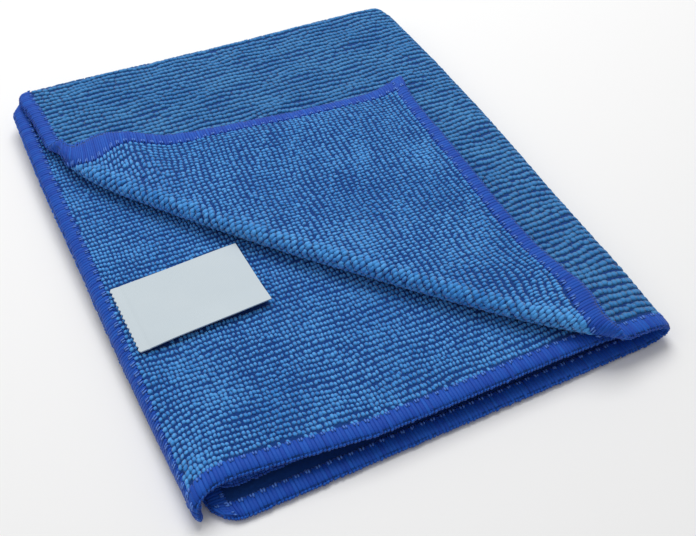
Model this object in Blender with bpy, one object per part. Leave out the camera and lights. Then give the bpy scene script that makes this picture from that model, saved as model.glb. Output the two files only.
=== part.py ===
"""Folded microfibre cleaning cloth with a sewn-in label.

One rectangular cloth, overlocked all round, is folded in half from the back and in half again from
the right, so four layers lie on each other. The free front left corner of the top layer is turned
back over a soft diagonal roll, and a plain label sewn into the left hem lies on the layer below.

Every point of the cloth has three sheet coordinates: how far across it lies, how far along it, and
how deep in its thickness. across runs from the left hem of the bottom layers round the right fold to
the left hem of the top layers. along runs from the outer front hem over the back fold to the inner
front hem. depth runs from the outer face, -, to the inner face, +.
"""
import math
from collections import namedtuple

import bmesh
import bpy
import numpy as np

MM = 0.001

# The cloth as cut, and how its layers lie
CLOTH_WIDTH = 320 * MM
CLOTH_LENGTH = 397 * MM
THICKNESS = 2.5 * MM
LAYER_PITCH = 3.3 * MM
BOTTOM_MIDDLE = THICKNESS / 2
SECOND_FROM_TOP = BOTTOM_MIDDLE + 2 * LAYER_PITCH
TOP_MIDDLE = BOTTOM_MIDDLE + 3 * LAYER_PITCH

# Back fold: a half turn that starts this far from the outer front hem
BACK_LINE = 197.8 * MM
BACK_RADIUS = LAYER_PITCH / 2

# Right fold: a half turn of both layers together, drawn out to a point at its front end
RIGHT_RADIUS = LAYER_PITCH
POINT_STRETCH = 0.9
POINT_LENGTH = 18 * MM
INNER_FOLLOW = 0.8

# Where the left hems lie, from the outer front hem (along 0) to the inner one
EdgeRow = namedtuple("EdgeRow", "along lower_edge upper_edge")
EDGE_ROWS = (
    EdgeRow(0 * MM, 6.5 * MM, 1.0 * MM),
    EdgeRow(60 * MM, 6.0 * MM, 1.0 * MM),
    EdgeRow(160 * MM, 5.0 * MM, 2.3 * MM),
    EdgeRow(182 * MM, 5.0 * MM, 1.0 * MM),
    EdgeRow(200 * MM, 3.0 * MM, -1.5 * MM),
    EdgeRow(206 * MM, 1.5 * MM, -4.6 * MM),
    EdgeRow(250 * MM, 2.0 * MM, -4.2 * MM),
    EdgeRow(300 * MM, 3.0 * MM, -2.6 * MM),
    EdgeRow(350 * MM, 4.5 * MM, -2.0 * MM),
    EdgeRow(397 * MM, 7.5 * MM, -1.8 * MM),
)

# How far right the right fold reaches
ReachRow = namedtuple("ReachRow", "from_front reach")
REACH_ROWS = (
    ReachRow(0 * MM, 158.8 * MM),
    ReachRow(36 * MM, 158.7 * MM),
    ReachRow(66 * MM, 159.6 * MM),
    ReachRow(121 * MM, 162.1 * MM),
    ReachRow(155 * MM, 162.7 * MM),
    ReachRow(205 * MM, 161.5 * MM),
)

# The inner front hem is drawn back beside its left corner
RECESS = 7 * MM
RECESS_WIDTH = 58 * MM
RECESS_LENGTH = 30 * MM
RECESS_FADE = 9 * MM
HIDDEN_RECESS = 4.5 * MM
HIDDEN_RECESS_END = 30 * MM

# The left hem of the second layer from the top droops over the layers below it
DROOP_RADIUS = 3.6 * MM
DROOP_START = 6.6 * MM
DROOP_START_SLOPE = 0.045
DROOP_TURN = math.radians(108)
DROOP_LENGTH = 75 * MM

# The turned-back corner: where its roll starts, where its tip lands, and its roll
FLAP_LEFT = np.array([0.0, 153.5 * MM])
FLAP_RIGHT = np.array([135.9 * MM, 0.0])
FLAP_TIP = np.array([137.2 * MM, 140.8 * MM])
FREE_CORNER = np.array([1.0 * MM, 0.0])
FLAP_ROLL = 2.3 * MM
ROLL_TIGHTENING = 0.28
ROLL_END = 16 * MM
FLAP_SETTLE = 25 * MM
BOW_MIDDLE = 3.5 * MM
BOW_LEFT = -9 * MM
BOW_LEFT_LENGTH = 13 * MM
BOW_RIGHT = -4.5 * MM
BOW_RIGHT_LENGTH = 12 * MM
HEM_BLEND = 12 * MM
HEM_WAVE_REACH = 30 * MM
TIP_EAR = 4 * MM
TIP_EAR_SIZE = 8 * MM

# The back hem of the turned-back corner lies in a wave
WaveRow = namedtuple("WaveRow", "from_tip shift_back")
WAVE_ROWS = (
    WaveRow(0 * MM, 0 * MM),
    WaveRow(14 * MM, -1.9 * MM),
    WaveRow(49 * MM, -1.3 * MM),
    WaveRow(91 * MM, 2.2 * MM),
    WaveRow(102 * MM, 4.0 * MM),
    WaveRow(115 * MM, 10 * MM),
    WaveRow(127 * MM, 11 * MM),
    WaveRow(141 * MM, 13 * MM),
    WaveRow(155 * MM, 8 * MM),
)

# Its right hem lies in a wave too
SideWaveRow = namedtuple("SideWaveRow", "from_tip shift_right")
SIDE_WAVE_ROWS = (
    SideWaveRow(0 * MM, 0 * MM),
    SideWaveRow(30 * MM, 1.1 * MM),
    SideWaveRow(60 * MM, 1.3 * MM),
    SideWaveRow(90 * MM, 1.6 * MM),
    SideWaveRow(110 * MM, 4 * MM),
    SideWaveRow(125 * MM, 5 * MM),
    SideWaveRow(140 * MM, 4 * MM),
)

# The same cloth puffs up a little behind its back hem
PUFF = 2.0 * MM
PUFF_RISE = 10 * MM
PUFF_FALL = 22 * MM
PUFF_FROM_TIP = 8 * MM
PUFF_RIGHT_END = 20 * MM
PUFF_LEFT = 95 * MM
PUFF_LEFT_END = 15 * MM

# Plan corners are rounded, the right end is pressed flat, and the layers are uneven by a few parts in a
# hundred
LEFT_SIDE = -5.9 * MM
RIGHT_SIDE = 163.6 * MM
BACK_SIDE = 200.7 * MM
CORNER_ROUNDING = 11 * MM
FRONT_ROUNDING = 9 * MM
TIP_PRESS = 0.24
TIP_PRESS_FROM = 118 * MM
TIP_PRESS_WIDTH = 40 * MM
TIP_PRESS_LENGTH = 22 * MM
UNEVEN = 0.025
UNEVEN_ACROSS = 125 * MM
UNEVEN_ALONG = 92 * MM

# The middle of the folded cloth, which becomes the origin
PLAN_MIDDLE = np.array([79.6157 * MM, 100.1393 * MM])

# Mesh lines
PANEL_SPACING = 14 * MM
SIDE_SPACING = 2 * MM
RIGHT_BEND_SPACING = 1.7 * MM
BACK_BEND_STEPS = 6
ROLL_SPACING = 1.35 * MM

# The label
LABEL_LENGTH = 43.6 * MM
LABEL_WIDTH = 28 * MM
LABEL_THICKNESS = 1.0 * MM
LABEL_GAP = 0.35 * MM
LABEL_MIDDLE = np.array([25.6 * MM, 73.0 * MM])
LABEL_TURN = math.radians(2.5)
LABEL_LIFT = 0.9 * MM
LABEL_STEPS = (16, 8)


def column(rows, name):
    """One column of a table of rows."""
    return np.array([getattr(row, name) for row in rows])


def smooth(share):
    """0 to 1 with a soft start and end."""
    share = np.clip(share, 0, 1)
    return share * share * (3 - 2 * share)


def back_fold(along, depth):
    """Side view of the back fold: y, height in the pair of layers, and the height of its middle."""
    turn = np.clip((along - BACK_LINE) / BACK_RADIUS, 0, math.pi)
    past = np.maximum(along - BACK_LINE - math.pi * BACK_RADIUS, 0)
    y = np.minimum(along, BACK_LINE) + (BACK_RADIUS - depth) * np.sin(turn) - past
    return y, -(BACK_RADIUS - depth) * np.cos(turn), -BACK_RADIUS * np.cos(turn)


def right_fold(across, along, y, level, middle):
    """Front view of the right fold: x, z, the share of the turn made, and the distance to the upper hem."""
    lower_edge = np.interp(along, column(EDGE_ROWS, "along"), column(EDGE_ROWS, "lower_edge"))
    upper_edge = np.interp(along, column(EDGE_ROWS, "along"), column(EDGE_ROWS, "upper_edge"))
    reach = np.interp(y, column(REACH_ROWS, "from_front"), column(REACH_ROWS, "reach"))
    outer = (1 - middle / BACK_RADIUS) / 2
    drawn = POINT_STRETCH * np.exp(-((np.maximum(y, 0) / POINT_LENGTH) ** 2))
    stretch = 1 + drawn * outer
    radius = RIGHT_RADIUS - middle
    outer_radius = RIGHT_RADIUS + BACK_RADIUS
    centre = reach - outer_radius * (1 + drawn * (1 - INNER_FOLLOW * (1 - outer)))
    # A half ellipse's length by Ramanujan's rule
    ellipse = (3 * (stretch + 1) - np.sqrt((3 * stretch + 1) * (stretch + 3))) / 2
    bend = math.pi * radius * ellipse
    width = 2 * centre - lower_edge - upper_edge + bend
    position = across * width / CLOTH_WIDTH
    straight = centre - lower_edge
    turn = np.clip((position - straight) / bend, 0, 1) * math.pi
    past = np.maximum(position - straight - bend, 0)
    normal_x, normal_z = np.sin(turn), -stretch * np.cos(turn)
    outward = (middle - level) / np.hypot(normal_x, normal_z)
    bent_x = centre + stretch * radius * np.sin(turn) + outward * normal_x
    x = np.where(position < straight, lower_edge + position, bent_x) - past
    z = BOTTOM_MIDDLE + BACK_RADIUS + RIGHT_RADIUS - radius * np.cos(turn) + outward * normal_z
    return x, z, turn / math.pi, width - position


def droop(x, y, z, upper, inner):
    """The left hem of the layer second from the top hangs over the layers below it."""
    most = DROOP_TURN * np.exp(-np.maximum(y, 0) / DROOP_LENGTH)
    start = DROOP_START - DROOP_START_SLOPE * np.maximum(y, 0)
    over = np.maximum(start - x, 0)
    turn = np.minimum(over / DROOP_RADIUS, most)
    rest = over - DROOP_RADIUS * turn
    radius = DROOP_RADIUS + z - SECOND_FROM_TOP
    hung_x = start - radius * np.sin(turn) - rest * np.cos(turn)
    hung_z = SECOND_FROM_TOP - DROOP_RADIUS + radius * np.cos(turn) - rest * np.sin(turn)
    hangs = upper & inner & (over > 0)
    return np.where(hangs, hung_x, x), np.where(hangs, hung_z, z)


def bow_of_roll(s, span):
    """How far the roll's line bows out towards the front left corner, at a distance along it."""
    bow = BOW_MIDDLE * np.sin(math.pi * np.clip(s / span, 0, 1))
    bow = bow + BOW_LEFT * np.exp(-np.maximum(s, 0) / BOW_LEFT_LENGTH)
    return bow + BOW_RIGHT * np.exp(-np.maximum(span - s, 0) / BOW_RIGHT_LENGTH)


def turn_back(x, y, z, depth, top):
    """The free corner of the top layer rolls over a diagonal line and lies back on its own layer."""
    run = FLAP_RIGHT - FLAP_LEFT
    span = float(np.hypot(*run))
    line = run / span
    outward = np.array([line[1], -line[0]])
    s = (x - FLAP_LEFT[0]) * line[0] + (y - FLAP_LEFT[1]) * line[1]
    bow = bow_of_roll(s, span)
    d = (x - FLAP_LEFT[0]) * outward[0] + (y - FLAP_LEFT[1]) * outward[1] - bow
    corner = FREE_CORNER - FLAP_LEFT
    tip_bow = bow_of_roll(corner @ line, span)
    ends = np.exp(-np.maximum(s, 0) / ROLL_END) + np.exp(-np.maximum(span - s, 0) / ROLL_END)
    radius = FLAP_ROLL * (1 - ROLL_TIGHTENING * ends)
    lies_back = FLAP_TIP - FLAP_LEFT - line * (corner @ line) - outward * tip_bow
    back = lies_back / (corner @ outward - tip_bow - math.pi * FLAP_ROLL)
    turn = np.clip(d / radius, 0, math.pi)
    past = np.maximum(d - math.pi * radius, 0)
    out = bow + (radius + depth) * np.sin(turn)
    new_x = FLAP_LEFT[0] + line[0] * s + outward[0] * out + back[0] * past
    new_y = FLAP_LEFT[1] + line[1] * s + outward[1] * out + back[1] * past
    settle = (2 * radius - LAYER_PITCH) * smooth(past / FLAP_SETTLE)
    new_z = TOP_MIDDLE + radius - (radius + depth) * np.cos(turn) - settle

    # Waves in its back hem, its pointed tip and its puffed edge
    from_hem = np.maximum(x - FREE_CORNER[0], 0)
    from_tip = np.maximum(y - FREE_CORNER[1], 0)
    done = smooth(past / HEM_BLEND)
    wave = np.interp(from_tip, column(WAVE_ROWS, "from_tip"), column(WAVE_ROWS, "shift_back"))
    new_y = new_y + wave * np.exp(-((from_hem / HEM_WAVE_REACH) ** 2)) * done
    wave = np.interp(from_hem, column(SIDE_WAVE_ROWS, "from_tip"), column(SIDE_WAVE_ROWS, "shift_right"))
    new_x = new_x + wave * np.exp(-((from_tip / HEM_WAVE_REACH) ** 2)) * done
    ear = TIP_EAR * np.exp(-((np.hypot(from_hem, from_tip) / TIP_EAR_SIZE) ** 1.5))
    puff = PUFF * smooth(from_hem / PUFF_RISE)
    puff = puff * np.exp(-((np.maximum(from_hem - PUFF_RISE, 0) / PUFF_FALL) ** 2))
    puff = puff * smooth((from_tip - PUFF_FROM_TIP) / PUFF_RIGHT_END)
    puff = puff * smooth((PUFF_LEFT - from_tip) / PUFF_LEFT_END)
    folds = top & (d > 0)
    x = np.where(folds, new_x + 0.7 * ear, x)
    y = np.where(folds, new_y + 0.9 * ear, y)
    return x, y, np.where(folds, new_z + puff * done, z)


def round_corners(x, y):
    """The two back corners are rounded in plan."""
    back = np.clip((y - BACK_SIDE) / CORNER_ROUNDING + 1, 0, 1)
    right = np.clip((x - RIGHT_SIDE) / CORNER_ROUNDING + 1, 0, 1)
    left = np.clip((LEFT_SIDE - x) / CORNER_ROUNDING + 1, 0, 1)
    pulled_in = CORNER_ROUNDING * (1 - np.sqrt(1 - back**2 / 2))
    side = np.maximum(left, right)
    x = x + pulled_in * (left - right)
    return x, y - CORNER_ROUNDING * back * (1 - np.sqrt(1 - side**2 / 2))


def place(across, along, depth):
    """The place in space of points given by their sheet coordinates."""
    across, along, depth = np.broadcast_arrays(across, along, depth)
    y, level, middle = back_fold(along, depth)
    x, z, turned, from_hem = right_fold(across, along, y, level, middle)
    drawn_back = RECESS * np.clip(1 - from_hem / RECESS_WIDTH, 0, 1)
    drawn_back = drawn_back * (1 - np.exp(-((from_hem / RECESS_FADE) ** 2)))
    drawn_back = drawn_back + HIDDEN_RECESS * smooth((CLOTH_WIDTH / 2 - across) / HIDDEN_RECESS_END)
    y = y + drawn_back * np.exp(-(((CLOTH_LENGTH - along) / RECESS_LENGTH) ** 2))
    upper = turned > 0.999
    inner = middle > 0.999 * BACK_RADIUS
    x, z = droop(x, y, z, upper, inner)
    x, y, z = turn_back(x, y, z, depth, upper & (middle < -0.999 * BACK_RADIUS))
    uneven = np.sin(2 * math.pi * x / UNEVEN_ACROSS + 0.6) * np.sin(2 * math.pi * y / UNEVEN_ALONG + 1.1)
    press = smooth((x - TIP_PRESS_FROM) / TIP_PRESS_WIDTH)
    press = press * np.exp(-((np.maximum(y, 0) / TIP_PRESS_LENGTH) ** 2))
    z = z * (1 + UNEVEN * (1 + uneven)) * (1 - TIP_PRESS * press)
    near = np.clip(1 - across / FRONT_ROUNDING, 0, 1)
    front = np.clip(1 - np.minimum(along, CLOTH_LENGTH - along) / FRONT_ROUNDING, 0, 1)
    x = x + FRONT_ROUNDING * near * (1 - np.sqrt(1 - front**2 / 2))
    y = y + FRONT_ROUNDING * front * (1 - np.sqrt(1 - near**2 / 2))
    x, y = round_corners(x, y)
    return np.stack([x - PLAN_MIDDLE[0], y - PLAN_MIDDLE[1], z], -1)


def cut(sheet, point, normal, faces=None):
    """Cuts the flat sheet, or some of its faces, along a line."""
    faces = list(sheet.faces) if faces is None else faces
    edges = {edge for face in faces for edge in face.edges}
    verts = {vert for face in faces for vert in face.verts}
    bmesh.ops.bisect_plane(
        sheet, geom=[*verts, *edges, *faces], plane_co=point, plane_no=normal, dist=1e-7
    )


def flat_sheet():
    """The cloth laid flat, with lines where it will bend."""
    sheet = bmesh.new()
    corners = [(0, 0), (CLOTH_WIDTH, 0), (CLOTH_WIDTH, CLOTH_LENGTH), (0, CLOTH_LENGTH)]
    sheet.faces.new([sheet.verts.new((across, along, 0)) for across, along in corners])

    bend_from = CLOTH_WIDTH / 2 - 7.5 * RIGHT_BEND_SPACING
    bend_to = CLOTH_WIDTH / 2 + 7.5 * RIGHT_BEND_SPACING
    side_from = CLOTH_WIDTH - 6 * SIDE_SPACING
    lines = [SIDE_SPACING, 2 * SIDE_SPACING, 3 * SIDE_SPACING, 4.5 * SIDE_SPACING]
    lines += list(np.linspace(0, bend_from, round(bend_from / PANEL_SPACING) + 1))[1:]
    lines += list(np.arange(bend_from, bend_to, RIGHT_BEND_SPACING))[1:]
    lines += list(np.linspace(bend_to, side_from, round((side_from - bend_to) / PANEL_SPACING) + 1))
    lines += list(np.arange(side_from, CLOTH_WIDTH - SIDE_SPACING / 2, SIDE_SPACING))[1:]
    for across in lines:
        cut(sheet, (across, 0, 0), (1, 0, 0))

    back_end = BACK_LINE + math.pi * BACK_RADIUS
    lines = [2 * SIDE_SPACING, 4.5 * SIDE_SPACING]
    lines += list(np.linspace(0, BACK_LINE, round(BACK_LINE / PANEL_SPACING) + 1))[1:]
    lines += list(np.linspace(BACK_LINE, back_end, BACK_BEND_STEPS + 1))[1:]
    rest = CLOTH_LENGTH - back_end
    lines += list(np.linspace(back_end, CLOTH_LENGTH, round(rest / PANEL_SPACING) + 1))[1:-1]
    lines += [CLOTH_LENGTH - 4.5 * SIDE_SPACING, CLOTH_LENGTH - 2 * SIDE_SPACING]
    for along in lines:
        cut(sheet, (0, along, 0), (0, 1, 0))

    left = np.array([CLOTH_WIDTH - FLAP_LEFT[0], FLAP_LEFT[1]])
    run = np.array([CLOTH_WIDTH - FLAP_RIGHT[0], FLAP_RIGHT[1]]) - left
    normal = np.array([run[1], -run[0]]) / np.hypot(*run)
    normal = normal if normal[0] > 0 else -normal
    for offset in np.arange(-6 * MM, 13 * MM, ROLL_SPACING):
        quarter = [face for face in sheet.faces if is_top_layer(face.calc_center_median())]
        point = left + normal * offset
        cut(sheet, (*point, 0), (*normal, 0), quarter)
    bmesh.ops.triangulate(sheet, faces=list(sheet.faces))
    return sheet


def is_top_layer(point):
    """Whether a point of the flat sheet lies in the quarter that ends up on top."""
    return point.x > CLOTH_WIDTH / 2 and point.y < BACK_LINE


def closed_between(sheet, lower, upper):
    """A closed mesh from a flat one, given the places of its points on the lower and upper face."""
    index = {vert: i for i, vert in enumerate(sheet.verts)}
    count = len(index)
    faces = []
    for face in sheet.faces:
        loop = [index[vert] for vert in face.verts]
        faces.append([i + count for i in loop])
        faces.append(loop[::-1])
    for edge in sheet.edges:
        if edge.is_boundary:
            loop = edge.link_loops[0]
            start, end = index[loop.vert], index[loop.link_loop_next.vert]
            faces.append([start, end, end + count])
            faces.append([start, end + count, start + count])
    mesh = bpy.data.meshes.new("closed")
    mesh.from_pydata([*lower.tolist(), *upper.tolist()], [], faces)
    return mesh


def add_object(name, mesh, material):
    mesh.name = name
    mesh.materials.append(material)
    mesh.shade_smooth()
    mesh.set_sharp_from_angle(angle=math.radians(50))
    part = bpy.data.objects.new(name, mesh)
    bpy.context.scene.collection.objects.link(part)
    return part


def plain_material(name, color, roughness):
    material = bpy.data.materials.new(name)
    material.use_nodes = True
    shader = material.node_tree.nodes["Principled BSDF"]
    shader.inputs["Base Color"].default_value = (*color, 1)
    shader.inputs["Roughness"].default_value = roughness
    shader.inputs["Metallic"].default_value = 0
    return material


def make_cloth():
    """The whole cloth with its hems, one closed sheet in its folds."""
    sheet = flat_sheet()
    flat = np.array([vert.co[:] for vert in sheet.verts])
    outer = place(flat[:, 0], flat[:, 1], -THICKNESS / 2)
    inner = place(flat[:, 0], flat[:, 1], THICKNESS / 2)
    mesh = closed_between(sheet, outer, inner)
    sheet.free()
    return add_object("cloth", mesh, plain_material("microfibre", (0.04, 0.2, 0.58), 0.9))


def make_label():
    """The label, a thin strip that starts on the left hem and lifts a little at its free end."""
    sheet = bmesh.new()
    bmesh.ops.create_grid(sheet, x_segments=LABEL_STEPS[0], y_segments=LABEL_STEPS[1], size=0.5)
    flat = np.array([vert.co[:] for vert in sheet.verts])
    length, width = flat[:, 0] * LABEL_LENGTH, flat[:, 1] * LABEL_WIDTH
    x = LABEL_MIDDLE[0] + length * math.cos(LABEL_TURN) - width * math.sin(LABEL_TURN)
    y = LABEL_MIDDLE[1] + length * math.sin(LABEL_TURN) + width * math.cos(LABEL_TURN)
    top_of_cloth = (SECOND_FROM_TOP + THICKNESS / 2) * (1 + 2 * UNEVEN)
    lift = LABEL_LIFT * smooth(flat[:, 0] + 0.5) * (0.6 + 0.8 * flat[:, 1] ** 2)
    z = top_of_cloth + LABEL_GAP + lift
    lower = np.stack([x - PLAN_MIDDLE[0], y - PLAN_MIDDLE[1], z], -1)
    mesh = closed_between(sheet, lower, lower + [0, 0, LABEL_THICKNESS])
    sheet.free()
    return add_object("label", mesh, plain_material("label_tape", (0.62, 0.68, 0.72), 0.5))


def main():
    for old in list(bpy.data.objects):
        bpy.data.objects.remove(old, do_unlink=True)
    for part in (make_cloth(), make_label()):
        points = np.array([vert.co[:] for vert in part.data.vertices])
        size = np.round((points.max(0) - points.min(0)) / MM, 1)
        middle = np.round((points.max(0) + points.min(0)) / 2 / MM, 2)
        print(part.name, "size", size, "middle", middle, "faces", len(part.data.polygons))


main()
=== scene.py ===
# %% [markdown]
# # A folded microfibre cloth
#
# The real thing is one rectangle of looped microfibre knit, overlocked all round, with a small tape
# label caught in the left hem. It is folded in quarters and its free top corner is turned back. The
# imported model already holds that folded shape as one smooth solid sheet. This lesson gives it what the
# eye looks for: the loops of the pile, the threads of the overlocked edge and the woven label.

import math
from collections import namedtuple

import bpy
import numpy as np
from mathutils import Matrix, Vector


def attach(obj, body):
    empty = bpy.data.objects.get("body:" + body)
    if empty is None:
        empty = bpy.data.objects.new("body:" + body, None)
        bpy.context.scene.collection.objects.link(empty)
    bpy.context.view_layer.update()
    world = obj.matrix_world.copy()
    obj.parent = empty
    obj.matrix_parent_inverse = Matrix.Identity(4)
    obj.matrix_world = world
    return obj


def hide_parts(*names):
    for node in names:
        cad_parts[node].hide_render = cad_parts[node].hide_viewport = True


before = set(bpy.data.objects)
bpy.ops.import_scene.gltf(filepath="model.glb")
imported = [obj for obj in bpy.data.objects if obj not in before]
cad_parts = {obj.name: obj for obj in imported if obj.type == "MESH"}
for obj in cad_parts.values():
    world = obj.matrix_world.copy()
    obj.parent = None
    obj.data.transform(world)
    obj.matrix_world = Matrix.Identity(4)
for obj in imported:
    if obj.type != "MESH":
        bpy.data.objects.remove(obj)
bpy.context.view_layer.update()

# %% [markdown]
# ## The folds as a function
#
# Everything on the cloth is easiest to make while it lies flat: a loop is a bead at some place across
# and along the cloth, and a hem thread is a short tube across the edge. So the folds are written once,
# as a function from flat places to folded ones, and each piece is made flat and then sent through it.
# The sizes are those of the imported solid. across runs from the left hem of the bottom layers round the
# right fold to the left hem of the top layers, along runs from the outer front hem over the back fold
# to the inner front hem, and depth runs from the outer face, -, to the inner face, +.

# %% Sizes of the cloth and its folds
MM = 0.001
CLOTH_WIDTH = 320 * MM
CLOTH_LENGTH = 397 * MM
THICKNESS = 2.5 * MM
LAYER_PITCH = 3.3 * MM
BOTTOM_MIDDLE = THICKNESS / 2
SECOND_FROM_TOP = BOTTOM_MIDDLE + 2 * LAYER_PITCH
TOP_MIDDLE = BOTTOM_MIDDLE + 3 * LAYER_PITCH
BACK_LINE = 197.8 * MM
BACK_RADIUS = LAYER_PITCH / 2
BACK_END = BACK_LINE + math.pi * BACK_RADIUS
RIGHT_RADIUS = LAYER_PITCH
POINT_STRETCH = 0.9
POINT_LENGTH = 18 * MM
INNER_FOLLOW = 0.8
RECESS = 7 * MM
RECESS_WIDTH = 58 * MM
RECESS_LENGTH = 30 * MM
RECESS_FADE = 9 * MM
HIDDEN_RECESS = 4.5 * MM
HIDDEN_RECESS_END = 30 * MM
DROOP_RADIUS = 3.6 * MM
DROOP_START = 6.6 * MM
DROOP_START_SLOPE = 0.045
DROOP_TURN = math.radians(108)
DROOP_LENGTH = 75 * MM
FLAP_LEFT = np.array([0.0, 153.5 * MM])
FLAP_RIGHT = np.array([135.9 * MM, 0.0])
FLAP_TIP = np.array([137.2 * MM, 140.8 * MM])
FREE_CORNER = np.array([1.0 * MM, 0.0])
FLAP_ROLL = 2.3 * MM
ROLL_TIGHTENING = 0.28
ROLL_END = 16 * MM
FLAP_SETTLE = 25 * MM
BOW_MIDDLE = 3.5 * MM
BOW_LEFT = -9 * MM
BOW_LEFT_LENGTH = 13 * MM
BOW_RIGHT = -4.5 * MM
BOW_RIGHT_LENGTH = 12 * MM
HEM_BLEND = 12 * MM
HEM_WAVE_REACH = 30 * MM
TIP_EAR = 4 * MM
TIP_EAR_SIZE = 8 * MM
PUFF = 2.0 * MM
PUFF_RISE = 10 * MM
PUFF_FALL = 22 * MM
PUFF_FROM_TIP = 8 * MM
PUFF_RIGHT_END = 20 * MM
PUFF_LEFT = 95 * MM
PUFF_LEFT_END = 15 * MM
LEFT_SIDE = -5.9 * MM
RIGHT_SIDE = 163.6 * MM
BACK_SIDE = 200.7 * MM
CORNER_ROUNDING = 11 * MM
FRONT_ROUNDING = 9 * MM
TIP_PRESS = 0.24
TIP_PRESS_FROM = 118 * MM
TIP_PRESS_WIDTH = 40 * MM
TIP_PRESS_LENGTH = 22 * MM
UNEVEN = 0.025
UNEVEN_ACROSS = 125 * MM
UNEVEN_ALONG = 92 * MM
PLAN_MIDDLE = np.array([79.6157 * MM, 100.1393 * MM])

EdgeRow = namedtuple("EdgeRow", "along lower_edge upper_edge")
EDGE_ROWS = (
    EdgeRow(0 * MM, 6.5 * MM, 1.0 * MM),
    EdgeRow(60 * MM, 6.0 * MM, 1.0 * MM),
    EdgeRow(160 * MM, 5.0 * MM, 2.3 * MM),
    EdgeRow(182 * MM, 5.0 * MM, 1.0 * MM),
    EdgeRow(200 * MM, 3.0 * MM, -1.5 * MM),
    EdgeRow(206 * MM, 1.5 * MM, -4.6 * MM),
    EdgeRow(250 * MM, 2.0 * MM, -4.2 * MM),
    EdgeRow(300 * MM, 3.0 * MM, -2.6 * MM),
    EdgeRow(350 * MM, 4.5 * MM, -2.0 * MM),
    EdgeRow(397 * MM, 7.5 * MM, -1.8 * MM),
)
ReachRow = namedtuple("ReachRow", "from_front reach")
REACH_ROWS = (
    ReachRow(0 * MM, 158.8 * MM),
    ReachRow(36 * MM, 158.7 * MM),
    ReachRow(66 * MM, 159.6 * MM),
    ReachRow(121 * MM, 162.1 * MM),
    ReachRow(155 * MM, 162.7 * MM),
    ReachRow(205 * MM, 161.5 * MM),
)
WaveRow = namedtuple("WaveRow", "from_tip shift_back")
WAVE_ROWS = (
    WaveRow(0 * MM, 0 * MM),
    WaveRow(14 * MM, -1.9 * MM),
    WaveRow(49 * MM, -1.3 * MM),
    WaveRow(91 * MM, 2.2 * MM),
    WaveRow(102 * MM, 4.0 * MM),
    WaveRow(115 * MM, 10 * MM),
    WaveRow(127 * MM, 11 * MM),
    WaveRow(141 * MM, 13 * MM),
    WaveRow(155 * MM, 8 * MM),
)
SideWaveRow = namedtuple("SideWaveRow", "from_tip shift_right")
SIDE_WAVE_ROWS = (
    SideWaveRow(0 * MM, 0 * MM),
    SideWaveRow(30 * MM, 1.1 * MM),
    SideWaveRow(60 * MM, 1.3 * MM),
    SideWaveRow(90 * MM, 1.6 * MM),
    SideWaveRow(110 * MM, 4 * MM),
    SideWaveRow(125 * MM, 5 * MM),
    SideWaveRow(140 * MM, 4 * MM),
)
print("the flat cloth is", CLOTH_WIDTH / MM, "x", CLOTH_LENGTH / MM, "mm")


# %% Folding a flat place
def column(rows, name):
    return np.array([getattr(row, name) for row in rows])


def smooth(share):
    share = np.clip(share, 0, 1)
    return share * share * (3 - 2 * share)


def back_fold(along, depth):
    turn = np.clip((along - BACK_LINE) / BACK_RADIUS, 0, math.pi)
    past = np.maximum(along - BACK_END, 0)
    y = np.minimum(along, BACK_LINE) + (BACK_RADIUS - depth) * np.sin(turn) - past
    return y, -(BACK_RADIUS - depth) * np.cos(turn), -BACK_RADIUS * np.cos(turn)


def right_fold(across, along, y, level, middle):
    lower_edge = np.interp(along, column(EDGE_ROWS, "along"), column(EDGE_ROWS, "lower_edge"))
    upper_edge = np.interp(along, column(EDGE_ROWS, "along"), column(EDGE_ROWS, "upper_edge"))
    reach = np.interp(y, column(REACH_ROWS, "from_front"), column(REACH_ROWS, "reach"))
    outer = (1 - middle / BACK_RADIUS) / 2
    drawn = POINT_STRETCH * np.exp(-((np.maximum(y, 0) / POINT_LENGTH) ** 2))
    stretch = 1 + drawn * outer
    radius = RIGHT_RADIUS - middle
    centre = reach - (RIGHT_RADIUS + BACK_RADIUS) * (1 + drawn * (1 - INNER_FOLLOW * (1 - outer)))
    ellipse = (3 * (stretch + 1) - np.sqrt((3 * stretch + 1) * (stretch + 3))) / 2
    bend = math.pi * radius * ellipse
    width = 2 * centre - lower_edge - upper_edge + bend
    position = across * width / CLOTH_WIDTH
    straight = centre - lower_edge
    turn = np.clip((position - straight) / bend, 0, 1) * math.pi
    past = np.maximum(position - straight - bend, 0)
    normal_x, normal_z = np.sin(turn), -stretch * np.cos(turn)
    outward = (middle - level) / np.hypot(normal_x, normal_z)
    bent_x = centre + stretch * radius * np.sin(turn) + outward * normal_x
    x = np.where(position < straight, lower_edge + position, bent_x) - past
    z = BOTTOM_MIDDLE + BACK_RADIUS + RIGHT_RADIUS - radius * np.cos(turn) + outward * normal_z
    return x, z, turn / math.pi, width - position


def droop(x, y, z, upper, inner):
    most = DROOP_TURN * np.exp(-np.maximum(y, 0) / DROOP_LENGTH)
    start = DROOP_START - DROOP_START_SLOPE * np.maximum(y, 0)
    over = np.maximum(start - x, 0)
    turn = np.minimum(over / DROOP_RADIUS, most)
    rest = over - DROOP_RADIUS * turn
    radius = DROOP_RADIUS + z - SECOND_FROM_TOP
    hung_x = start - radius * np.sin(turn) - rest * np.cos(turn)
    hung_z = SECOND_FROM_TOP - DROOP_RADIUS + radius * np.cos(turn) - rest * np.sin(turn)
    hangs = upper & inner & (over > 0)
    return np.where(hangs, hung_x, x), np.where(hangs, hung_z, z)


# %% The turned-back corner
FLAP_RUN = FLAP_RIGHT - FLAP_LEFT
FLAP_SPAN = float(np.hypot(*FLAP_RUN))
FLAP_LINE = FLAP_RUN / FLAP_SPAN
FLAP_OUT = np.array([FLAP_LINE[1], -FLAP_LINE[0]])


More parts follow.
